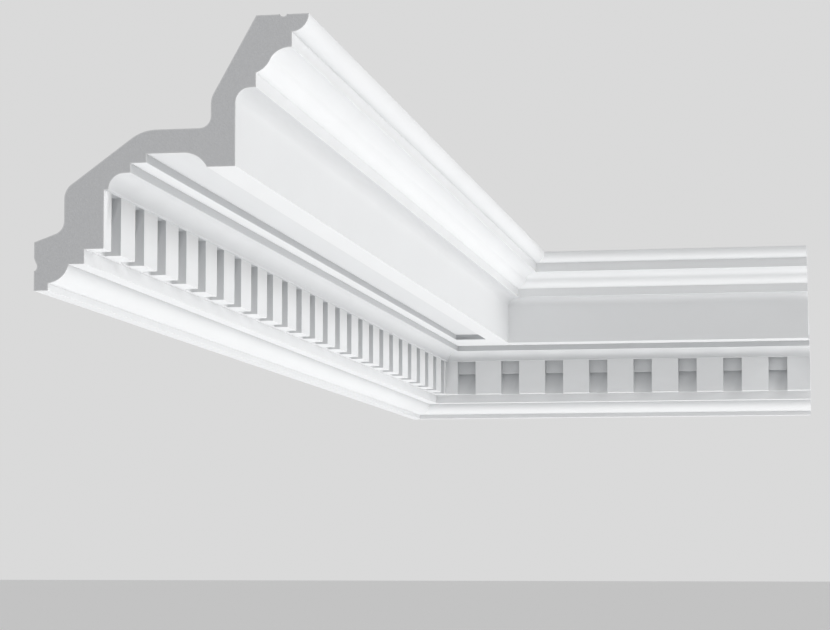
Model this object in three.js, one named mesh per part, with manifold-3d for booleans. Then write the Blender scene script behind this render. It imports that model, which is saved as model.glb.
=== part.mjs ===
// Inside corner of a dentil cornice: a long length and a short return of one moulding, cast
// hollow-backed in rigid foam, cut square at their outer ends and mitred together in the room corner.
// Millimetres, +Z up. The long length's wall land lies on the YZ plane and the length runs along Y;
// the return turns towards +X. The origin is on the long length's wall land, halfway along it.

import * as THREE from 'three';
import { mergeVertices } from 'three/addons/utils/BufferGeometryUtils.js';
import Module from 'manifold-3d';

// Lengths along the wall, from the room corner to the square-cut end
const longRun = 1394;
const returnRun = 491;
const glueLine = 0.3;

// Show face, member by member from the bottom edge: Out leads away from the wall, Up leads higher
const footFilletOut = 10;
const footFilletUp = 5;
const footOvoloOut = 14.5;
const footOvoloUp = 12.5;
const footOvoloSweep = 71;
const bandOut = 11;
const bandUp = 10;
const dentilOut = 13.5;
const dentilUp = 40;
const coveLipOut = 3;
const coveRadius = 11;
const coveFlatOut = 4.5;
const lowerStepUp = 6.5;
const lowerStepOut = 11;
const upperStepUp = 6;
const soffitOut = 26.5;
const dripOut = 15.5;
const dripDrop = 10.2;
const dripSweep = 60;
const coronaSoffitOut = 19.5;
const coronaUp = 42.8;
const coronaCoveRadius = 10;
const coronaCoveFlatOut = 4;
const cymaFilletUp = 9.7;
const cymaLowOut = 10.2;
const cymaLowUp = 9.9;
const cymaLowSweep = 50;
const cymaHighOut = 14.3;
const cymaHighUp = 6.6;
const cymaHighSweep = 58;
const crownFilletUp = 10.2;
const crownOvoloOut = 11.5;
const crownOvoloUp = 12;
const crownOvoloSweep = 87;

// Dentil course: blocks with a gap between them, and a shallower block in the top of each gap
const dentilWide = 32;
const dentilGap = 22;
const recessProud = 2.1;
const gapBlockProud = 5;
const gapBlockUp = 15;
const longCornerDentil = 11;
const returnCornerDentil = 15;

// Stop that closes the channel behind the drip near the room corner, flush with the lower step: it
// starts at the mitre and ends this far past the other length's corona
const stopPastCorona = 5;
const stopBuried = 2;

// Ceiling land, front to back, and wall land, bottom to top, each with a glue groove
const ceilingLandFront = 14.8;
const ceilingGroove = 5;
const ceilingGrooveSweep = 125;
const ceilingLandBack = 16.2;
const wallLandLow = 13.2;
const wallGrooveRound = 5.6;
const wallGrooveRoundSweep = 106;
const wallGrooveRamp = 3.6;
const wallGrooveRampDepth = 1.3;
const wallLandHigh = 10.6;

// Hollow back: foam left behind each show member, and the rounds between its flats
const dentilWall = 28;
const soffitWall = 16.2;
const coronaWall = 17;
const footSlopeDegrees = 19.6;
const kneeAboveDentils = 0.7;
const shelfBehindStep = 3;
const hipAboveCorona = 3.5;
const footRound = 9;
const kneeRound = 12;
const shelfRound = 30;
const hollowCornerRound = 10;
const hipRound = 15;

const arcStepDegrees = 9;
const roundShareOfRun = 0.49;
const cutterReach = 5;
const mergeWithin = 1e-4;
const foamWhite = '#e9eaeb';

// Distances from the wall and heights above the bottom edge that several features share
const bandAt = footFilletOut + footOvoloOut + bandOut;
const dentilAt = bandAt + dentilOut;
const dentilFoot = footFilletUp + footOvoloUp + bandUp;
const dentilHead = dentilFoot + dentilUp;
const stepAt = dentilAt + coveLipOut + coveRadius + coveFlatOut + lowerStepOut;
const treadHeight = dentilHead + coveRadius + lowerStepUp;
const soffitHeight = treadHeight + upperStepUp;
const coronaAt = stepAt + soffitOut + dripOut + coronaSoffitOut;
const coronaHead = soffitHeight - dripDrop + coronaUp;
const wallLand = wallLandLow + wallGrooveRound + wallGrooveRamp + wallLandHigh;

// A pen that draws the section by steps and arcs; x is the distance from the wall, y the height
class Pen {
  constructor(x, y) {
    this.points = [new THREE.Vector2(x, y)];
  }

  get tip() {
    return this.points[this.points.length - 1];
  }

  to(x, y) {
    this.points.push(new THREE.Vector2(x, y));
    return this;
  }

  by(dx, dy) {
    return this.to(this.tip.x + dx, this.tip.y + dy);
  }

  // An arc that turns through sweep degrees on the way: left where sweep is positive
  arcBy(dx, dy, sweep) {
    const start = this.tip.clone();
    const chord = new THREE.Vector2(dx, dy);
    const turn = THREE.MathUtils.degToRad(sweep);
    const radius = chord.length() / (2 * Math.sin(Math.abs(turn) / 2));
    const heading = chord.angle() - turn / 2;
    const centre = new THREE.Vector2(-Math.sin(heading), Math.cos(heading))
      .multiplyScalar(radius * Math.sign(turn)).add(start);
    const steps = Math.max(3, Math.ceil(Math.abs(sweep) / arcStepDegrees));
    for (let i = 1; i < steps; i += 1) {
      const point = start.clone().rotateAround(centre, turn * i / steps);
      this.to(point.x, point.y);
    }
    return this.to(start.x + dx, start.y + dy);
  }

  // Straight runs through corners, each corner rounded with its own radius where the runs allow it
  throughCorners(corners) {
    corners.forEach(({ at, round }, index) => {
      const next = corners[index + 1];
      if (!next) {
        this.to(at.x, at.y);
        return;
      }
      const towardsLast = this.tip.clone().sub(at);
      const towardsNext = next.at.clone().sub(at);
      const turn = Math.atan2(towardsLast.cross(towardsNext), towardsLast.dot(towardsNext));
      const room = roundShareOfRun * Math.min(towardsLast.length(), towardsNext.length());
      const tangent = Math.min(round / Math.tan(Math.abs(turn) / 2), room);
      const enter = towardsLast.setLength(tangent).add(at);
      const leave = towardsNext.setLength(tangent).add(at);
      const sweep = Math.sign(turn) * (Math.abs(THREE.MathUtils.radToDeg(turn)) - 180);
      this.to(enter.x, enter.y).arcBy(leave.x - enter.x, leave.y - enter.y, sweep);
    });
    return this;
  }
}

function drawShowFace(pen) {
  return pen
    .by(footFilletOut, 0).by(0, footFilletUp)
    .arcBy(footOvoloOut, footOvoloUp, footOvoloSweep)
    .by(bandOut, 0).by(0, bandUp)
    .by(dentilOut, 0).by(0, dentilUp)
    .by(coveLipOut, 0).arcBy(coveRadius, coveRadius, -90).by(coveFlatOut, 0)
    .by(0, lowerStepUp).by(lowerStepOut, 0)
    .by(0, upperStepUp).by(soffitOut, 0)
    .arcBy(dripOut, -dripDrop, -dripSweep).by(coronaSoffitOut, 0)
    .by(0, coronaUp).arcBy(coronaCoveRadius, coronaCoveRadius, -90).by(coronaCoveFlatOut, 0)
    .by(0, cymaFilletUp)
    .arcBy(cymaLowOut, cymaLowUp, cymaLowSweep).arcBy(cymaHighOut, cymaHighUp, -cymaHighSweep)
    .by(0, crownFilletUp)
    .arcBy(crownOvoloOut, crownOvoloUp, crownOvoloSweep);
}

function drawHollowBack(pen) {
  const innerAt = dentilAt - dentilWall;
  const slope = Math.tan(THREE.MathUtils.degToRad(footSlopeDegrees));
  const shelf = soffitHeight + soffitWall;
  const hollowFace = coronaAt - coronaWall;
  return pen.throughCorners([
    { at: new THREE.Vector2(hollowFace, coronaHead + hipAboveCorona), round: hipRound },
    { at: new THREE.Vector2(hollowFace, shelf), round: hollowCornerRound },
    { at: new THREE.Vector2(stepAt - shelfBehindStep, shelf), round: shelfRound },
    { at: new THREE.Vector2(innerAt, dentilHead + kneeAboveDentils), round: kneeRound },
    { at: new THREE.Vector2(innerAt, wallLand + innerAt * slope), round: footRound },
    { at: new THREE.Vector2(0, wallLand) },
  ]);
}

function section() {
  const pen = drawShowFace(new Pen(0, 0));
  pen.by(-ceilingLandFront, 0).arcBy(-ceilingGroove, 0, -ceilingGrooveSweep).by(-ceilingLandBack, 0);
  drawHollowBack(pen);
  pen.by(0, -wallLandHigh).by(wallGrooveRampDepth, -wallGrooveRamp)
    .arcBy(-wallGrooveRampDepth, -wallGrooveRound, -wallGrooveRoundSweep);
  return new THREE.Shape(pen.points);
}

// The open space of one gap: deep below, shallow where the small block fills its top
function gapShape() {
  const recessAt = bandAt + recessProud;
  const gapBlockFoot = dentilHead - gapBlockUp;
  return new THREE.Shape(new Pen(recessAt, dentilFoot - cutterReach)
    .by(dentilAt - recessAt + cutterReach, 0)
    .to(dentilAt + cutterReach, dentilHead)
    .to(recessAt + gapBlockProud, dentilHead)
    .to(recessAt + gapBlockProud, gapBlockFoot)
    .to(recessAt, gapBlockFoot)
    .points);
}

function stopShape() {
  const across = stopBuried + soffitOut + dripOut;
  return new THREE.Shape(new Pen(stepAt - stopBuried, treadHeight)
    .by(across, 0)
    .by(0, upperStepUp + stopBuried)
    .by(-across, 0)
    .points);
}

// One outline drawn out between two distances from the room corner, on the side that hand gives
function bar(shape, from, to, hand) {
  const geometry = new THREE.ExtrudeGeometry(shape, { depth: to - from, bevelEnabled: false, steps: 1 });
  return geometry.translate(0, 0, hand > 0 ? from : -to);
}

const wasm = await Module();
wasm.setup();

function toSolid(geometry) {
  const bare = geometry.clone();
  bare.deleteAttribute('normal');
  bare.deleteAttribute('uv');
  const merged = mergeVertices(bare, mergeWithin);
  return new wasm.Manifold(new wasm.Mesh({
    numProp: 3,
    vertProperties: new Float32Array(merged.attributes.position.array),
    triVerts: new Uint32Array(merged.index.array),
  }));
}

function toGeometry(solid) {
  const mesh = solid.getMesh();
  const geometry = new THREE.BufferGeometry();
  geometry.setAttribute('position', new THREE.BufferAttribute(new Float32Array(mesh.vertProperties), 3));
  geometry.setIndex(new THREE.BufferAttribute(new Uint32Array(mesh.triVerts), 1));
  geometry.computeVertexNormals();
  return geometry;
}

// One length, with local z along its wall: the room corner is at zero and the length lies on the
// side that hand gives, because the two lengths of a corner are left and right handed
function mouldingLength(run, cornerDentil, hand) {
  const stop = toSolid(bar(stopShape(), 0, coronaAt + stopPastCorona, hand));
  let solid = toSolid(bar(section(), 0, run, hand)).add(stop);
  const pitch = dentilWide + dentilGap;
  for (let start = dentilAt + cornerDentil; start < run; start += pitch) {
    solid = solid.subtract(toSolid(bar(gapShape(), start, start + dentilGap, hand)));
  }
  const mitreSetback = glueLine / Math.SQRT2;
  return toGeometry(solid.warp((point) => {
    if (Math.abs(point[2]) < mergeWithin) point[2] = hand * (point[0] + mitreSetback);
  }));
}

function piece(name, geometry) {
  const material = new THREE.MeshStandardMaterial({ color: foamWhite, roughness: 0.6, metalness: 0 });
  const mesh = new THREE.Mesh(geometry, material);
  mesh.name = name;
  return mesh;
}

const longLength = piece('long_length', mouldingLength(longRun, longCornerDentil, 1));
longLength.rotation.x = Math.PI / 2;

const returnLength = piece('return_length', mouldingLength(returnRun, returnCornerDentil, -1));
returnLength.rotation.set(Math.PI / 2, 0, -Math.PI / 2, 'ZYX');

const cornice = new THREE.Group();
cornice.add(longLength, returnLength);
cornice.position.set(0, longRun / 2, -wallLandLow / 2);

export default cornice;
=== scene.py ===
import math

import bmesh
import bpy
from mathutils import Euler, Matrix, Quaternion, Vector


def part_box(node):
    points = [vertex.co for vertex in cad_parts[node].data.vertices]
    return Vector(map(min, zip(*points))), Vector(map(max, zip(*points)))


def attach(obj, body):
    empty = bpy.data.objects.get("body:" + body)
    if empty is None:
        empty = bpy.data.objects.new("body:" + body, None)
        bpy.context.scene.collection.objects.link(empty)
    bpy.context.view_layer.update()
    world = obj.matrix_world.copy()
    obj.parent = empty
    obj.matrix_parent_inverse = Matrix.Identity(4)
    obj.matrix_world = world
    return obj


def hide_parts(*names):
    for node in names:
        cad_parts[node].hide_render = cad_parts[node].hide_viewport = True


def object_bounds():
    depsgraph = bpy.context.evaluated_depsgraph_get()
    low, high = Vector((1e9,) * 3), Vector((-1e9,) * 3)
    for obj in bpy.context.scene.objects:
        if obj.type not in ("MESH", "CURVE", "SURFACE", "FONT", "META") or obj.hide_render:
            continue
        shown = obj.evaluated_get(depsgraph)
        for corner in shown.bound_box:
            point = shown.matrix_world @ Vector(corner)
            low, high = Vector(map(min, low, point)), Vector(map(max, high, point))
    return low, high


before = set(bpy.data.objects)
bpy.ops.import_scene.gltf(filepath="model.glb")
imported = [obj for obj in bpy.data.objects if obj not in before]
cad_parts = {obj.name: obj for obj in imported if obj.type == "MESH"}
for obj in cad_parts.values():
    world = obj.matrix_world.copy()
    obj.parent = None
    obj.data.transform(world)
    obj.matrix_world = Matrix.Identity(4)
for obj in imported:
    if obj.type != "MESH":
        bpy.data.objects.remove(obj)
cad_low, cad_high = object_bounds()

# Section of the moulding
# Both lengths have it: a dentil cornice with a hollow back, every member of its show face cast in
# one closed mould, where a skin of denser foam forms against the mould's wall.
# Millimetres: Out leads away from the wall land, Up leads higher, and a sweep is the turn of an arc.
mm = 0.001

foot_fillet_out = 10
foot_fillet_up = 5
foot_ovolo_out = 14.5
foot_ovolo_up = 12.5
foot_ovolo_sweep = 71
band_out = 11
band_up = 10
dentil_out = 13.5
dentil_up = 40
cove_lip_out = 3
cove_radius = 11
cove_flat_out = 4.5
lower_step_up = 6.5
lower_step_out = 11
upper_step_up = 6
soffit_out = 26.5
drip_out = 15.5
drip_drop = 10.2
drip_sweep = 60
corona_soffit_out = 19.5
corona_up = 42.8
corona_cove_radius = 10
corona_cove_flat_out = 4
cyma_fillet_up = 9.7
cyma_low_out = 10.2
cyma_low_up = 9.9
cyma_low_sweep = 50
cyma_high_out = 14.3
cyma_high_up = 6.6
cyma_high_sweep = 58
crown_fillet_up = 10.2
crown_ovolo_out = 11.5
crown_ovolo_up = 12
crown_ovolo_sweep = 87

ceiling_land_front = 14.8
ceiling_groove = 5
ceiling_groove_sweep = 125
ceiling_land_back = 16.2
wall_land_low = 13.2
wall_groove_round = 5.6
wall_groove_round_sweep = 106
wall_groove_ramp = 3.6
wall_groove_ramp_depth = 1.3
wall_land_high = 10.6

dentil_wall = 28
soffit_wall = 16.2
corona_wall = 17
foot_slope_degrees = 19.6
knee_above_dentils = 0.7
shelf_behind_step = 3
hip_above_corona = 3.5
foot_round = 9
knee_round = 12
shelf_round = 30
hollow_corner_round = 10
hip_round = 15

arc_step_degrees = 4
round_share_of_run = 0.49
skin_thick = 0.7

# Painted shade on the primer in the hollows and under the steps, from 0, none, to 1, the full grey, and
# how late on an arc it gets there
shade_under_band = 0.4
fade_at_band = 5
shade_at_cove_lip = 0.5
shade_in_cove = 0.28
shade_on_risers = 0.63
shade_in_channel = 0.24
shade_in_corona_cove = 0.5
shade_in_cyma = 0.36
shade_under_crown = 0.65
fade_at_crown = 0.35

band_at = foot_fillet_out + foot_ovolo_out + band_out
dentil_at = band_at + dentil_out
dentil_foot = foot_fillet_up + foot_ovolo_up + band_up
dentil_head = dentil_foot + dentil_up
step_at = dentil_at + cove_lip_out + cove_radius + cove_flat_out + lower_step_out
tread_height = dentil_head + cove_radius + lower_step_up
soffit_height = tread_height + upper_step_up
corona_at = step_at + soffit_out + drip_out + corona_soffit_out
corona_head = soffit_height - drip_drop + corona_up
wall_land = wall_land_low + wall_groove_round + wall_groove_ramp + wall_land_high
hollow_in = dentil_at - dentil_wall
hollow_out = corona_at - corona_wall
hollow_foot = wall_land + hollow_in * math.tan(math.radians(foot_slope_degrees))
shelf = soffit_height + soffit_wall


class Outline:
    """The edge of a section, drawn by steps and arcs. A point is complex: real out, imaginary up.

    Each step also says how much shade is painted on the primer there, from 0, none, to 1."""

    def __init__(self, start):
        self.points = [start]
        self.thin = []

    def to(self, point, thin=0):
        self.points.append(point)
        self.thin.append(thin)
        return self

    def by(self, out, up, thin=0):
        return self.to(self.points[-1] + complex(out, up), thin)

    def arc_by(self, out, up, sweep, thin=(0, 0), fade=1):
        """An arc that turns through sweep degrees on its way, to the left where sweep is positive.

        The painted shade changes from the first of shade to the second, early on where fade is below 1
        and late where it is above 1."""
        start, chord, turn = self.points[-1], complex(out, up), math.radians(sweep)
        spoke = -chord * complex(1, 1 / math.tan(turn / 2)) / 2
        steps = max(3, math.ceil(abs(sweep) / arc_step_degrees))
        for i in range(1, steps + 1):
            angle = turn * i / steps
            way = start - spoke + spoke * complex(math.cos(angle), math.sin(angle))
            changed = (i / steps) ** fade
            self.to(start + chord if i == steps else way, thin[0] + (thin[1] - thin[0]) * changed)
        return self

    def through(self, corners, end):
        """Straight runs past rounded corners, each a point with its radius, to an end point."""
        for i, (at, radius) in enumerate(corners):
            following = corners[i + 1][0] if i + 1 < len(corners) else end
            back, ahead = self.points[-1] - at, following - at
            between = ahead / back
            corner = math.atan2(between.imag, between.real)
            room = round_share_of_run * min(abs(back), abs(ahead))
            tangent = min(radius / math.tan(abs(corner) / 2), room)
            chord = (ahead / abs(ahead) - back / abs(back)) * tangent
            sweep = math.copysign(180 - math.degrees(abs(corner)), -corner)
            self.to(at + back / abs(back) * tangent).arc_by(chord.real, chord.imag, sweep)
        return self.to(end)


# The show face, with painted shade on the steps that lie in hollows and under overhangs
show_face = Outline(0j)
show_face.by(foot_fillet_out, 0).by(0, foot_fillet_up)
show_face.arc_by(foot_ovolo_out, foot_ovolo_up, foot_ovolo_sweep, (0, shade_under_band), fade_at_band)
show_face.by(band_out, 0).by(0, band_up).by(dentil_out, 0).by(0, dentil_up)
show_face.by(cove_lip_out, 0, shade_at_cove_lip)
show_face.arc_by(cove_radius, cove_radius, -90, (shade_at_cove_lip, shade_in_cove))
show_face.by(cove_flat_out, 0, shade_in_cove)
show_face.by(0, lower_step_up, shade_on_risers).by(lower_step_out, 0)
show_face.by(0, upper_step_up, shade_on_risers).by(soffit_out, 0, shade_in_channel)
show_face.arc_by(drip_out, -drip_drop, -drip_sweep, (shade_in_channel, 0))
show_face.by(corona_soffit_out, 0).by(0, corona_up)
show_face.arc_by(corona_cove_radius, corona_cove_radius, -90, (0, shade_in_corona_cove))
show_face.by(corona_cove_flat_out, 0, shade_in_corona_cove).by(0, cyma_fillet_up)
show_face.arc_by(cyma_low_out, cyma_low_up, cyma_low_sweep)
show_face.arc_by(cyma_high_out, cyma_high_up, -cyma_high_sweep, (0, shade_in_cyma))
show_face.by(0, crown_fillet_up)
show_face.arc_by(crown_ovolo_out, crown_ovolo_up, crown_ovolo_sweep, (shade_under_crown, 0), fade_at_crown)

back_face = Outline(show_face.points[-1])
back_face.by(-ceiling_land_front, 0).arc_by(-ceiling_groove, 0, -ceiling_groove_sweep)
back_face.by(-ceiling_land_back, 0)
back_face.through(
    [
        (complex(hollow_out, corona_head + hip_above_corona), hip_round),
        (complex(hollow_out, shelf), hollow_corner_round),
        (complex(step_at - shelf_behind_step, shelf), shelf_round),
        (complex(hollow_in, dentil_head + knee_above_dentils), knee_round),
        (complex(hollow_in, hollow_foot), foot_round),
    ],
    complex(0, wall_land),
)
back_face.by(0, -wall_land_high).by(wall_groove_ramp_depth, -wall_groove_ramp)
back_face.arc_by(-wall_groove_ramp_depth, -wall_groove_round, -wall_groove_round_sweep)

outline = show_face.points + back_face.points[1:]


def drawn_inside(points, depth):
    """The same outline, depth further into the foam."""
    moved = []
    for i, at in enumerate(points):
        before, after = at - points[i - 1], points[(i + 1) % len(points)] - at
        before, after = before * 1j / abs(before), after * 1j / abs(after)
        moved.append(at + (before + after) * depth / (1 + (before.conjugate() * after).real))
    return moved


def add_plate(name, *rims):
    """A flat section that stands across its run, with a ring of faces from each rim to the next."""
    count = len(rims[0])
    places = [(at.real * mm, 0, at.imag * mm) for rim in rims for at in rim]
    faces = []
    for ring in range(0, len(places) - count, count):
        for i in range(count):
            j = (i + 1) % count
            faces.append((ring + j, ring + i, ring + count + i, ring + count + j))
    faces.append(range(len(places) - 1, len(places) - count - 1, -1))
    mesh = bpy.data.meshes.new(name)
    mesh.from_pydata(places, [], faces)
    return mesh


section = add_plate("section", outline, drawn_inside(outline, skin_thick))
behind = section.attributes.new("behind", "FLOAT", "POINT")
for i in [0, *range(len(show_face.points) - 1, len(outline))]:
    behind.data[i].value = 1
core = section.attributes.new("core", "FLOAT", "FACE")
core.data[len(section.polygons) - 1].value = 1

# Painted shade of each step of the show face, kept on its faces
sheltered = section.attributes.new("sheltered", "FLOAT", "FACE")
for i, thin in enumerate(show_face.thin):
    sheltered.data[i].value = thin

# Long length
# Rigid polyurethane foam, cast with its dentils in one piece, sprayed white with primer on the show
# face, sawn square at its outer end and at 45 degrees at its inner one. It is held by adhesive on the
# two lands of its back.
long_run = 1394
long_corner_dentil = 11
# No shade is painted up the front of its dentils
long_shade_at_heads = 0.0
glue_line = 0.3
dentil_wide = 32
dentil_gap = 22
recess_proud = 2.1
gap_block_proud = 5
gap_block_up = 15
# Painted shade in the gaps: on the block's front, and up the cheeks from the foot to the head
shade_on_block = 0.6
shade_at_gap_foot = 0.31
shade_at_gap_head = 0.8
cutter_reach = 5
stop_past_corona = 5
stop_buried = 2
arris_round = 0.4
arris_steps = 3
arris_angle_degrees = 35
merge_within = 1e-6
end_share = 0.0001
wholly_behind = 0.99

recess_at = band_at + recess_proud
block_foot = dentil_head - gap_block_up
gap_outline = Outline(complex(recess_at, dentil_foot - cutter_reach))
gap_outline.by(dentil_at + cutter_reach - recess_at, 0).to(complex(dentil_at + cutter_reach, dentil_head))
gap_outline.to(complex(recess_at + gap_block_proud, dentil_head))
gap_outline.by(0, -gap_block_up).to(complex(recess_at, block_foot))

# The channel behind the drip is stopped near the corner, flush with the lower step
stop_outline = Outline(complex(step_at - stop_buried, tread_height))
stop_outline.by(stop_buried + soffit_out + drip_out, 0).by(0, upper_step_up + stop_buried)
stop_outline.by(-stop_buried - soffit_out - drip_out, 0)


def add(tree, kind, links=None, **settings):
    """A node with its settings, each input given a value or joined to a socket."""
    node = tree.nodes.new(kind)
    for name, value in settings.items():
        setattr(node, name, value)
    for key, value in (links or {}).items():
        if isinstance(value, bpy.types.NodeSocket):
            tree.links.new(value, node.inputs[key])
        elif isinstance(value, list):
            for socket in reversed(value):
                tree.links.new(socket, node.inputs[key])
        else:
            node.inputs[key].default_value = value
    return node


def open_tree(name, inputs, output):
    """A new geometry tree with its inputs by name, and the sockets that they come in by."""
    tree = bpy.data.node_groups.new(name, "GeometryNodeTree")
    for label, kind in inputs.items():
        tree.interface.new_socket(label, in_out="INPUT", socket_type="NodeSocket" + kind)
    tree.interface.new_socket(output, in_out="OUTPUT", socket_type="NodeSocketGeometry")
    return tree, add(tree, "NodeGroupInput").outputs


# A bar is a plate drawn out along its run and closed at both ends
bar, given = open_tree("bar", {"Plate": "Geometry", "Length": "Float"}, "Bar")
run = add(bar, "ShaderNodeCombineXYZ", {"Y": given["Length"]})
drawn = add(
    bar, "GeometryNodeExtrudeMesh", {"Mesh": given["Plate"], "Offset": run.outputs[0], "Individual": False}
)
turned = add(bar, "GeometryNodeFlipFaces", {"Mesh": given["Plate"]})
both = add(bar, "GeometryNodeJoinGeometry", {"Geometry": [drawn.outputs[0], turned.outputs[0]]})
closed = add(bar, "GeometryNodeMergeByDistance", {"Geometry": both.outputs[0], "Distance": merge_within})
add(bar, "NodeGroupOutput", {0: closed.outputs[0]})

moulding, given = open_tree(
    "moulding length",
    {
        "Section": "Geometry",
        "Run": "Float",
        "Stop": "Object",
        "Stop Length": "Float",
        "Gap": "Object",
        "Gap Wide": "Float",
        "Dentil Front": "Float",
        "Shade At Heads": "Float",
        "Gap Foot": "Float",
        "Gap Head": "Float",
        "Gap Back": "Float",
        "Block Foot": "Float",
        "Block Front": "Float",
        "First Gap": "Float",
        "Pitch": "Float",
        "Mitre Setback": "Float",
        "Arris Angle": "Float",
        "Hand": "Float",
        "Turn": "Float",
        "Corner": "Vector",
        "Primer": "Material",
        "Skin": "Material",
        "Sawn Foam": "Material",
        "Sawn Skin": "Material",
    },
    "Moulding",
)
stock = add(
    moulding, "GeometryNodeGroup", {"Plate": given["Section"], "Length": given["Run"]}, node_tree=bar
)

# Painted shade as the section gives it, and on the front of the dentils painted shade that grows upwards
outline_shade = add(moulding, "GeometryNodeInputNamedAttribute", {"Name": "sheltered"}, data_type="FLOAT")
place = add(moulding, "GeometryNodeInputPosition")
apart = add(moulding, "ShaderNodeSeparateXYZ", {0: place.outputs[0]})
on_front = add(
    moulding,
    "FunctionNodeCompare",
    {0: apart.outputs["X"], 1: given["Dentil Front"], "Epsilon": merge_within},
    operation="EQUAL",
)
up_front = add(
    moulding,
    "ShaderNodeMapRange",
    {
        "Value": apart.outputs["Z"],
        "From Min": given["Gap Foot"],
        "From Max": given["Gap Head"],
        "To Max": given["Shade At Heads"],
    },
)
on_dentils = add(
    moulding, "ShaderNodeMath", {0: up_front.outputs[0], 1: on_front.outputs[0]}, operation="MULTIPLY"
)
on_stock = add(
    moulding, "ShaderNodeMath", {0: outline_shade.outputs[0], 1: on_dentils.outputs[0]}, operation="MAXIMUM"
)
shaded_stock = add(
    moulding,
    "GeometryNodeStoreNamedAttribute",
    {"Geometry": stock.outputs[0], "Name": "thin_primer", "Value": on_stock.outputs[0]},
    data_type="FLOAT",
    domain="CORNER",
)
facing = add(moulding, "GeometryNodeInputNormal")
faced = add(moulding, "ShaderNodeSeparateXYZ", {0: facing.outputs[0]})
on_side = add(moulding, "ShaderNodeMath", {0: faced.outputs["Y"]}, operation="ABSOLUTE")
stop = add(moulding, "GeometryNodeObjectInfo", {"Object": given["Stop"]})
stop_bar = add(
    moulding,
    "GeometryNodeGroup",
    {"Plate": stop.outputs["Geometry"], "Length": given["Stop Length"]},
    node_tree=bar,
)
# Painted shade on the stop, full where it faces along the run
shaded_stop = add(
    moulding,
    "GeometryNodeStoreNamedAttribute",
    {"Geometry": stop_bar.outputs[0], "Name": "thin_primer", "Value": on_side.outputs[0]},
    data_type="FLOAT",
    domain="CORNER",
)
stopped = add(
    moulding,
    "GeometryNodeMeshBoolean",
    {"Mesh 2": [shaded_stock.outputs[0], shaded_stop.outputs[0]]},
    operation="UNION",
    solver="MANIFOLD",
)

# The course of gaps starts near the corner and goes on for as long as the run lasts
room = add(moulding, "ShaderNodeMath", {0: given["Run"], 1: given["First Gap"]}, operation="SUBTRACT")
pitches = add(moulding, "ShaderNodeMath", {0: room.outputs[0], 1: given["Pitch"]}, operation="DIVIDE")
count = add(moulding, "ShaderNodeMath", {0: pitches.outputs[0]}, operation="CEIL")
first = add(moulding, "ShaderNodeCombineXYZ", {"Y": given["First Gap"]})
step = add(moulding, "ShaderNodeCombineXYZ", {"Y": given["Pitch"]})
course = add(
    moulding,
    "GeometryNodeMeshLine",
    {"Count": count.outputs[0], "Start Location": first.outputs[0], "Offset": step.outputs[0]},
)
gap = add(moulding, "GeometryNodeObjectInfo", {"Object": given["Gap"]})
gap_bar = add(
    moulding,
    "GeometryNodeGroup",
    {"Plate": gap.outputs["Geometry"], "Length": given["Gap Wide"]},
    node_tree=bar,
)

# Painted shade in a gap: darker up its sides and its back, full on every face that lies flat, such
# as the undersides, and a little less on the front of the block
place = add(moulding, "GeometryNodeInputPosition")
apart = add(moulding, "ShaderNodeSeparateXYZ", {0: place.outputs[0]})
up_back = add(
    moulding,
    "ShaderNodeMapRange",
    {"Value": apart.outputs["Z"], "From Min": given["Gap Foot"], "From Max": given["Block Foot"]},
)
out_block = add(
    moulding,
    "ShaderNodeMapRange",
    {
        "Value": apart.outputs["X"],
        "From Min": given["Gap Back"],
        "From Max": given["Block Front"],
        "To Min": 1.0,
        "To Max": shade_on_block,
    },
)
on_back = add(
    moulding, "ShaderNodeMath", {0: up_back.outputs[0], 1: out_block.outputs[0]}, operation="MULTIPLY"
)
up_side = add(
    moulding,
    "ShaderNodeMapRange",
    {
        "Value": apart.outputs["Z"],
        "From Min": given["Gap Foot"],
        "From Max": given["Gap Head"],
        "To Min": shade_at_gap_foot,
        "To Max": shade_at_gap_head,
    },
)
on_cheek = add(
    moulding, "ShaderNodeMath", {0: up_side.outputs[0], 1: on_side.outputs[0]}, operation="MULTIPLY"
)
on_head = add(moulding, "ShaderNodeMath", {0: faced.outputs["Z"]}, operation="ABSOLUTE")
off_front = add(
    moulding, "ShaderNodeMath", {0: on_head.outputs[0], 1: on_cheek.outputs[0]}, operation="MAXIMUM"
)
gap_shade = add(
    moulding, "ShaderNodeMath", {0: on_back.outputs[0], 1: off_front.outputs[0]}, operation="MAXIMUM"
)
thin = add(
    moulding,
    "GeometryNodeStoreNamedAttribute",
    {"Geometry": gap_bar.outputs[0], "Name": "thin_primer", "Value": gap_shade.outputs[0]},
    data_type="FLOAT",
    domain="CORNER",
)
gaps = add(
    moulding, "GeometryNodeInstanceOnPoints", {"Points": course.outputs[0], "Instance": thin.outputs[0]}
)
gap_bars = add(moulding, "GeometryNodeRealizeInstances", {"Geometry": gaps.outputs[0]})
cut = add(
    moulding,
    "GeometryNodeMeshBoolean",
    {"Mesh 1": stopped.outputs[0], "Mesh 2": gap_bars.outputs[0]},
    operation="DIFFERENCE",
    solver="MANIFOLD",
)

# Where a point, edge or face lies along the run: 0 at the mitre, 1 at the square-cut end
place = add(moulding, "GeometryNodeInputPosition")
apart = add(moulding, "ShaderNodeSeparateXYZ", {0: place.outputs[0]})
share = add(moulding, "ShaderNodeMath", {0: apart.outputs["Y"], 1: given["Run"]}, operation="DIVIDE")
from_middle = add(moulding, "ShaderNodeMath", {0: share.outputs[0], 1: 0.5}, operation="SUBTRACT")
reach = add(moulding, "ShaderNodeMath", {0: from_middle.outputs[0]}, operation="ABSOLUTE")
at_end = add(
    moulding, "FunctionNodeCompare", {0: reach.outputs[0], 1: 0.5 - end_share}, operation="GREATER_THAN"
)
at_mitre = add(moulding, "FunctionNodeCompare", {0: share.outputs[0], 1: end_share}, operation="LESS_THAN")

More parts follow.
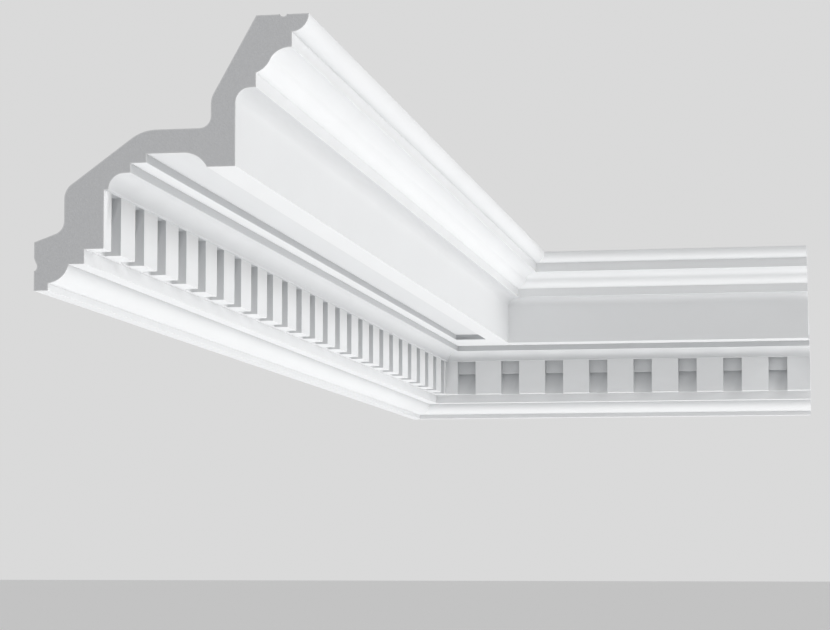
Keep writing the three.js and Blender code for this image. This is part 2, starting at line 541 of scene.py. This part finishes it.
# Outer arrises of the show face are eased by the mould; inner ones and those that a saw left are sharp
bend = add(moulding, "GeometryNodeInputMeshEdgeAngle")
sharp = add(
    moulding,
    "FunctionNodeCompare",
    {0: bend.outputs["Unsigned Angle"], 1: given["Arris Angle"]},
    operation="GREATER_THAN",
)
outer = add(
    moulding,
    "FunctionNodeCompare",
    {0: bend.outputs["Signed Angle"], 1: given["Arris Angle"]},
    operation="GREATER_THAN",
)
back = add(moulding, "GeometryNodeInputNamedAttribute", {"Name": "behind"}, data_type="FLOAT")
is_back = add(
    moulding, "FunctionNodeCompare", {0: back.outputs[0], 1: wholly_behind}, operation="GREATER_THAN"
)
unmoulded = add(
    moulding, "FunctionNodeBooleanMath", {0: is_back.outputs[0], 1: at_end.outputs[0]}, operation="OR"
)
eased = add(
    moulding, "FunctionNodeBooleanMath", {0: outer.outputs[0], 1: unmoulded.outputs[0]}, operation="NIMPLY"
)
crisp = add(
    moulding, "FunctionNodeBooleanMath", {0: sharp.outputs[0], 1: eased.outputs[0]}, operation="NIMPLY"
)
weighed = add(
    moulding,
    "GeometryNodeStoreNamedAttribute",
    {"Geometry": cut.outputs[0], "Name": "bevel_weight_edge", "Value": eased.outputs[0]},
    data_type="FLOAT",
    domain="EDGE",
)
creased = add(
    moulding,
    "GeometryNodeStoreNamedAttribute",
    {"Geometry": weighed.outputs[0], "Name": "sharp_edge", "Value": crisp.outputs[0]},
    data_type="BOOLEAN",
    domain="EDGE",
)
sawn = add(
    moulding,
    "GeometryNodeStoreNamedAttribute",
    {"Geometry": creased.outputs[0], "Name": "sawn", "Value": at_end.outputs[0]},
    data_type="FLOAT",
    domain="FACE",
)

# The mitre leans the corner end over at 45 degrees, short by half a glue line
lean = add(moulding, "ShaderNodeMath", {0: apart.outputs["X"], 1: given["Mitre Setback"]}, operation="ADD")
shift = add(moulding, "ShaderNodeCombineXYZ", {"Y": lean.outputs[0]})
mitred = add(
    moulding,
    "GeometryNodeSetPosition",
    {"Geometry": sawn.outputs[0], "Selection": at_mitre.outputs[0], "Offset": shift.outputs[0]},
)

# A left-hand length is the mirror image of a right-hand one
hand = add(moulding, "ShaderNodeCombineXYZ", {"X": 1.0, "Y": given["Hand"], "Z": 1.0})
turn = add(moulding, "ShaderNodeCombineXYZ", {"Z": given["Turn"]})
hung = add(
    moulding,
    "GeometryNodeTransform",
    {
        "Geometry": mitred.outputs[0],
        "Translation": given["Corner"],
        "Rotation": turn.outputs[0],
        "Scale": hand.outputs[0],
    },
)
mirrored = add(moulding, "FunctionNodeCompare", {0: given["Hand"], 1: 0.0}, operation="LESS_THAN")
inside_out = add(moulding, "GeometryNodeFlipFaces", {"Mesh": hung.outputs[0]})
righted = add(
    moulding,
    "GeometryNodeSwitch",
    {"Switch": mirrored.outputs[0], "False": hung.outputs[0], "True": inside_out.outputs[0]},
    input_type="GEOMETRY",
)
smooth = add(moulding, "GeometryNodeSetShadeSmooth", {"Geometry": righted.outputs[0]}, domain="FACE")

cut_end = add(moulding, "GeometryNodeInputNamedAttribute", {"Name": "sawn"}, data_type="FLOAT")
is_cut = add(moulding, "FunctionNodeCompare", {0: cut_end.outputs[0], 1: 0.5}, operation="GREATER_THAN")
in_core = add(moulding, "GeometryNodeInputNamedAttribute", {"Name": "core"}, data_type="FLOAT")
is_core = add(moulding, "FunctionNodeCompare", {0: in_core.outputs[0], 1: 0.5}, operation="GREATER_THAN")
is_foam = add(
    moulding, "FunctionNodeBooleanMath", {0: is_cut.outputs[0], 1: is_core.outputs[0]}, operation="AND"
)
whole = add(moulding, "GeometryNodeRealizeInstances", {"Geometry": smooth.outputs[0]})
painted = add(
    moulding, "GeometryNodeSetMaterial", {"Geometry": whole.outputs[0], "Material": given["Primer"]}
)
for where, finish in ((is_back, "Skin"), (is_cut, "Sawn Skin"), (is_foam, "Sawn Foam")):
    painted = add(
        moulding,
        "GeometryNodeSetMaterial",
        {"Geometry": painted.outputs[0], "Selection": where.outputs[0], "Material": given[finish]},
    )
add(moulding, "NodeGroupOutput", {0: painted.outputs[0]})


def linear(hex_colour):
    """An sRGB hex colour as linear red, green, blue and alpha."""
    channels = [int(hex_colour[i : i + 2], 16) / 255 for i in (1, 3, 5)]
    return (*[c / 12.92 if c <= 0.04045 else ((c + 0.055) / 1.055) ** 2.4 for c in channels], 1)


def open_material(name, **surface):
    """A new material with its shader's constants set, and the coordinates that its patterns read."""
    material = bpy.data.materials.new(name)
    material.use_nodes = True
    tree = material.node_tree
    shader = tree.nodes["Principled BSDF"]
    for key, value in surface.items():
        shader.inputs[key.replace("_", " ").title().replace("Ior", "IOR")].default_value = value
    return material, tree, shader, add(tree, "ShaderNodeTexCoord").outputs["Object"]


# Acrylic primer, sprayed in two coats on the moulded face: an even satin-matt white. The spray's
# stipple is a soft orange peel about a millimetre across, and the passes leave it a little glossier
# here and there. Painted shade greys it in the gaps, the coves and under the steps, where shade
# falls.
primer_white = "#dedfe0"
primer_grey = "#dadbdc"
# The grey of the painted shade on the primer
painted_shade_grey = "#aeb0b2"
stipple_wide = 1.1
stipple_deep = 0.012
pass_wide = 70
pass_gloss = 0.46
pass_matt = 0.6
primer, tree, shader, at = open_material("sprayed_acrylic_primer", ior=1.49)
passes = add(tree, "ShaderNodeTexNoise", {"Vector": at, "Scale": 1 / (pass_wide * mm), "Detail": 2.0})
tone = add(
    tree,
    "ShaderNodeMix",
    {"Factor": passes.outputs["Fac"], "A": linear(primer_grey), "B": linear(primer_white)},
    data_type="RGBA",
)
# The painted shade stored on the mesh greys the primer
thin = add(tree, "ShaderNodeAttribute", attribute_name="thin_primer")
shaded_tone = add(
    tree,
    "ShaderNodeMix",
    {"Factor": thin.outputs["Fac"], "A": tone.outputs["Result"], "B": linear(painted_shade_grey)},
    data_type="RGBA",
)
gloss = add(
    tree,
    "ShaderNodeMapRange",
    {"Value": passes.outputs["Fac"], "To Min": pass_gloss, "To Max": pass_matt},
)
stipple = add(tree, "ShaderNodeTexNoise", {"Vector": at, "Scale": 1 / (stipple_wide * mm), "Detail": 1.0})
relief = add(
    tree,
    "ShaderNodeBump",
    {"Height": stipple.outputs["Fac"], "Strength": 1.0, "Distance": stipple_deep * mm},
)
tree.links.new(shaded_tone.outputs["Result"], shader.inputs["Base Color"])
tree.links.new(gloss.outputs[0], shader.inputs["Roughness"])
tree.links.new(relief.outputs[0], shader.inputs["Normal"])

# Moulded foam skin, left as it came from the mould on the back and the lands: unprimed, a touch warmer
# and duller, with the faint clouds that the rising foam left.
skin_pale = "#e9e8e4"
skin_warm = "#e0dfd9"
cloud_wide = 45
grain_wide = 1.6
grain_deep = 0.03
skin, tree, shader, at = open_material("moulded_foam_skin", ior=1.5, roughness=0.62)
clouds = add(tree, "ShaderNodeTexNoise", {"Vector": at, "Scale": 1 / (cloud_wide * mm), "Detail": 4.0})
tone = add(
    tree,
    "ShaderNodeMix",
    {"Factor": clouds.outputs["Fac"], "A": linear(skin_warm), "B": linear(skin_pale)},
    data_type="RGBA",
)
grain = add(tree, "ShaderNodeTexNoise", {"Vector": at, "Scale": 1 / (grain_wide * mm), "Detail": 2.0})
relief = add(
    tree, "ShaderNodeBump", {"Height": grain.outputs["Fac"], "Strength": 1.0, "Distance": grain_deep * mm}
)
tree.links.new(tone.outputs["Result"], shader.inputs["Base Color"])
tree.links.new(relief.outputs[0], shader.inputs["Normal"])

# Sawn rigid foam: fine closed cells, cut open by a fine-toothed saw that left slanting strokes. Real
# cells are about 0.4 mm, drawn here at 0.9 mm so that they show. A diagonal wave of scale 1 repeats
# every fifth of pi.
foam_pale = "#cfd0d2"
foam_deep = "#c7c8ca"
cell_wide = 0.9
cell_deep = 0.1
stroke_pitch = 3.5
stroke_deep = 0.03
wave_repeat = math.pi / 5
sawn_foam, tree, shader, at = open_material("sawn_rigid_foam", ior=1.5, roughness=0.85)
cells = add(tree, "ShaderNodeTexVoronoi", {"Vector": at, "Scale": 1 / (cell_wide * mm)})
strokes = add(
    tree,
    "ShaderNodeTexWave",
    {"Vector": at, "Scale": wave_repeat / (stroke_pitch * mm), "Distortion": 1.5, "Detail": 2.0},
    bands_direction="DIAGONAL",
)
tone = add(
    tree,
    "ShaderNodeMix",
    {"Factor": cells.outputs["Color"], "A": linear(foam_deep), "B": linear(foam_pale)},
    data_type="RGBA",
)
scored = add(
    tree,
    "ShaderNodeBump",
    {"Height": strokes.outputs["Fac"], "Strength": 1.0, "Distance": stroke_deep * mm},
)
relief = add(
    tree,
    "ShaderNodeBump",
    {
        "Height": cells.outputs["Distance"],
        "Strength": 1.0,
        "Distance": cell_deep * mm,
        "Normal": scored.outputs[0],
    },
)
tree.links.new(tone.outputs["Result"], shader.inputs["Base Color"])
tree.links.new(relief.outputs[0], shader.inputs["Normal"])

# The skin where the saw went through it: denser, so paler and smoother than the foam inside it.
sawn_skin_grey = "#d6d7d8"
sawn_skin, tree, shader, at = open_material("sawn_foam_skin", ior=1.5, roughness=0.6)
grain = add(tree, "ShaderNodeTexNoise", {"Vector": at, "Scale": 1 / (cell_wide * mm), "Detail": 2.0})
relief = add(
    tree, "ShaderNodeBump", {"Height": grain.outputs["Fac"], "Strength": 1.0, "Distance": grain_deep * mm}
)
shader.inputs["Base Color"].default_value = linear(sawn_skin_grey)
tree.links.new(relief.outputs[0], shader.inputs["Normal"])


def inputs_of(tree):
    """The identifiers of a tree's inputs, by name."""
    return {item.name: item.identifier for item in tree.interface.items_tree if item.in_out == "INPUT"}


gap_cutter = bpy.data.objects.new("gap_cutter", add_plate("gap", gap_outline.points))
channel_stop = bpy.data.objects.new("channel_stop", add_plate("stop", stop_outline.points))
corner = Vector((0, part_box("return_length")[1].y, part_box("long_length")[0].z))


def hang_length(name, run, corner_dentil, shade_at_heads, hand, turn_degrees):
    """One moulding length as a plain mesh in its place, grown by the tree and eased at its arrises."""
    grown = bpy.data.objects.new(name + "_grown", section)
    bpy.context.scene.collection.objects.link(grown)
    growth = grown.modifiers.new("moulding", "NODES")
    growth.node_group = moulding
    for label, value in {
        "Run": run * mm,
        "Stop": channel_stop,
        "Stop Length": (corona_at + stop_past_corona) * mm,
        "Gap": gap_cutter,
        "Gap Wide": dentil_gap * mm,
        "Dentil Front": dentil_at * mm,
        "Shade At Heads": shade_at_heads,
        "Gap Foot": dentil_foot * mm,
        "Gap Head": dentil_head * mm,
        "Gap Back": recess_at * mm,
        "Block Foot": block_foot * mm,
        "Block Front": (recess_at + gap_block_proud) * mm,
        "First Gap": (dentil_at + corner_dentil) * mm,
        "Pitch": (dentil_wide + dentil_gap) * mm,
        "Mitre Setback": glue_line * mm / math.sqrt(2),
        "Arris Angle": math.radians(arris_angle_degrees),
        "Hand": hand,
        "Turn": math.radians(turn_degrees),
        "Corner": corner,
        "Primer": primer,
        "Skin": skin,
        "Sawn Foam": sawn_foam,
        "Sawn Skin": sawn_skin,
    }.items():
        growth[inputs_of(moulding)[label]] = value
    eased = grown.modifiers.new("arrises", "BEVEL")
    eased.limit_method = "WEIGHT"
    eased.width = arris_round * mm
    eased.segments = arris_steps
    eased.use_clamp_overlap = False
    even = grown.modifiers.new("even shading", "WEIGHTED_NORMAL")
    even.keep_sharp = True
    mesh = bpy.data.meshes.new_from_object(grown.evaluated_get(bpy.context.evaluated_depsgraph_get()))
    bpy.data.objects.remove(grown)
    for spent in ("behind", "core", "sheltered", "sawn", "bevel_weight_edge"):
        mesh.attributes.remove(mesh.attributes[spent])
    mesh.materials.pop(index=mesh.materials[:].index(None))
    piece = bpy.data.objects.new(name, mesh)
    bpy.context.scene.collection.objects.link(piece)
    return piece


long_moulding = hang_length(
    "long_moulding", long_run, long_corner_dentil, long_shade_at_heads, hand=-1.0, turn_degrees=0
)
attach(long_moulding, "root")
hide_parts("long_length")

# Return length
# The same moulding, cut to the other hand, with shade painted up the front of its dentils, strongest
# at their heads. It is mitred to the long length at the inside corner and sawn square at its outer end.
return_run = 491
return_corner_dentil = 15
return_shade_at_heads = 0.4
return_moulding = hang_length(
    "return_moulding", return_run, return_corner_dentil, return_shade_at_heads, hand=1.0, turn_degrees=-90
)
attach(return_moulding, "root")
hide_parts("return_length")
for helper in (gap_cutter, channel_stop):
    bpy.data.objects.remove(helper)

# Mitre joint
# White joint adhesive, which glues the two lengths into one run. It is pressed out between the two
# sawn mitres and wiped flush, so it shows as a thin line, smoother than the primer.
adhesive_white = "#dfdfde"
square_on = 0.999
adhesive, tree, shader, at = open_material("joint_adhesive", ior=1.5, roughness=0.5)
smear = add(tree, "ShaderNodeTexNoise", {"Vector": at, "Scale": 1 / (grain_wide * mm), "Detail": 1.0})
relief = add(
    tree, "ShaderNodeBump", {"Height": smear.outputs["Fac"], "Strength": 1.0, "Distance": grain_deep * mm}
)
shader.inputs["Base Color"].default_value = linear(adhesive_white)
tree.links.new(relief.outputs[0], shader.inputs["Normal"])

across_mitre = Vector((1, 1, 0)) / math.sqrt(2)
line = bmesh.new()
line.from_mesh(long_moulding.data)
elsewhere = [face for face in line.faces if face.normal.dot(across_mitre) < square_on]
bmesh.ops.delete(line, geom=elsewhere, context="FACES")
far_side = bmesh.ops.extrude_face_region(line, geom=line.faces[:])["geom"]
thickness = across_mitre * glue_line * mm
bmesh.ops.translate(line, vec=thickness, verts=[v for v in far_side if isinstance(v, bmesh.types.BMVert)])
bmesh.ops.recalc_face_normals(line, faces=line.faces)
for face in line.faces:
    face.smooth = False
    face.material_index = 0
mesh = bpy.data.meshes.new("mitre_adhesive")
line.to_mesh(mesh)
line.free()
mesh.attributes.remove(mesh.attributes["thin_primer"])
mesh.materials.append(adhesive)
mitre_adhesive = bpy.data.objects.new("mitre_adhesive", mesh)
bpy.context.scene.collection.objects.link(mitre_adhesive)
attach(mitre_adhesive, "root")

# Floor
# A plain pale floor below the moulding, seen from above only, so that a view from below it is open.
floor_drop = 0.9
floor_size = 300
floor_pale = "#ededed"
floor_half = floor_size / 2
floor_height = cad_low.z - floor_drop
floor_mesh = bpy.data.meshes.new("floor")
floor_corners = [(-1, -1), (1, -1), (1, 1), (-1, 1)]
floor_places = [(x * floor_half, y * floor_half, floor_height) for x, y in floor_corners]
floor_mesh.from_pydata(floor_places, [], [(0, 1, 2, 3)])
pale_floor, tree, shader, at = open_material("pale_floor", roughness=0.9)
shader.inputs["Base Color"].default_value = linear(floor_pale)
side = add(tree, "ShaderNodeNewGeometry")
clear = add(tree, "ShaderNodeBsdfTransparent")
one_sided = add(
    tree,
    "ShaderNodeMixShader",
    {0: side.outputs["Backfacing"], 1: shader.outputs[0], 2: clear.outputs[0]},
)
tree.links.new(one_sided.outputs[0], tree.nodes["Material Output"].inputs["Surface"])
floor_mesh.materials.append(pale_floor)
floor = bpy.data.objects.new("floor", floor_mesh)
bpy.context.scene.collection.objects.link(floor)

# Light
# A pale studio: soft light from all round and more from overhead, a wide panel below for the soffits,
# and two square panels on the open side, the stronger of them beyond the inside corner.
studio_light = 0.43
backdrop = 0.7
overhead_light = 0.69
overhead_spread_degrees = 60
below_at = Vector((0.4, 0, -0.8))
below_aim = Vector((0.4, 0, 0))
below_size = (2.4, 3.0)
below_power = 12.8
below_spread_degrees = 60
panel_size = 1.4
panel_distance = 3.5
panel_aim = Vector((0.22, 0.05, 0.08))
world = bpy.data.worlds.new("pale_studio")
bpy.context.scene.world = world
world.use_nodes = True
shines = world.node_tree.nodes["Background"]
shines.inputs["Strength"].default_value = studio_light
shines.inputs["Color"].default_value = (1, 1, 1, 1)
seen = add(world.node_tree, "ShaderNodeBackground", {"Color": (1, 1, 1, 1), "Strength": backdrop})
rays = add(world.node_tree, "ShaderNodeLightPath")
both = add(
    world.node_tree,
    "ShaderNodeMixShader",
    {0: rays.outputs["Is Camera Ray"], 1: shines.outputs[0], 2: seen.outputs[0]},
)
world.node_tree.links.new(both.outputs[0], world.node_tree.nodes["World Output"].inputs["Surface"])


overhead = bpy.data.lights.new("overhead", "SUN")
overhead.energy = overhead_light
overhead.angle = math.radians(overhead_spread_degrees)
bpy.context.scene.collection.objects.link(bpy.data.objects.new("overhead", overhead))


def add_panel(name, place, aim, size, power, spread_degrees=180):
    """A soft light panel at a place, turned to shine at its aim and unseen by the camera."""
    light = bpy.data.lights.new(name, "AREA")
    light.shape = "RECTANGLE"
    light.size, light.size_y = size
    light.energy = power
    light.spread = math.radians(spread_degrees)
    panel = bpy.data.objects.new(name, light)
    panel.location = place
    panel.rotation_euler = (aim - place).to_track_quat("-Z", "Y").to_euler()
    panel.visible_camera = False
    bpy.context.scene.collection.objects.link(panel)


add_panel("below", below_at, below_aim, below_size, below_power, below_spread_degrees)
for name, azimuth, elevation, power in (
    ("side", 60, 20, 31.4),
    ("beyond", 110, 0, 42.3),
):
    way = Euler((math.radians(-elevation), 0, math.radians(azimuth))).to_matrix() @ Vector((0, -1, 0))
    add_panel(name, panel_aim + way * panel_distance, panel_aim, (panel_size, panel_size), power)

# Camera
# It stands where the photograph was taken from, 1.5 m before the sawn end and below the moulding. The
# photograph's centre of view lies below its middle, so the lens is shifted.
camera_at = (0.5466, -2.2174, -0.1944)
camera_yaw = 10.592
camera_pitch = 3.419
camera_roll = 0.073
focal_pixels = 2372.45
centre_below_middle = 113.02
image_wide = 830
film_wide = 36
lens = bpy.data.cameras.new("camera")
lens.sensor_width = film_wide
lens.lens = focal_pixels / image_wide * lens.sensor_width
lens.shift_y = centre_below_middle / image_wide
camera = bpy.data.objects.new("camera", lens)
camera.location = camera_at
facing = Euler((math.radians(90 + camera_pitch), 0, math.radians(camera_yaw))).to_quaternion()
camera.rotation_mode = "QUATERNION"
camera.rotation_quaternion = facing @ Quaternion((0, 0, 1), math.radians(camera_roll))
bpy.context.scene.collection.objects.link(camera)
bpy.context.scene.camera = camera
bpy.context.scene.view_settings.view_transform = "Standard"
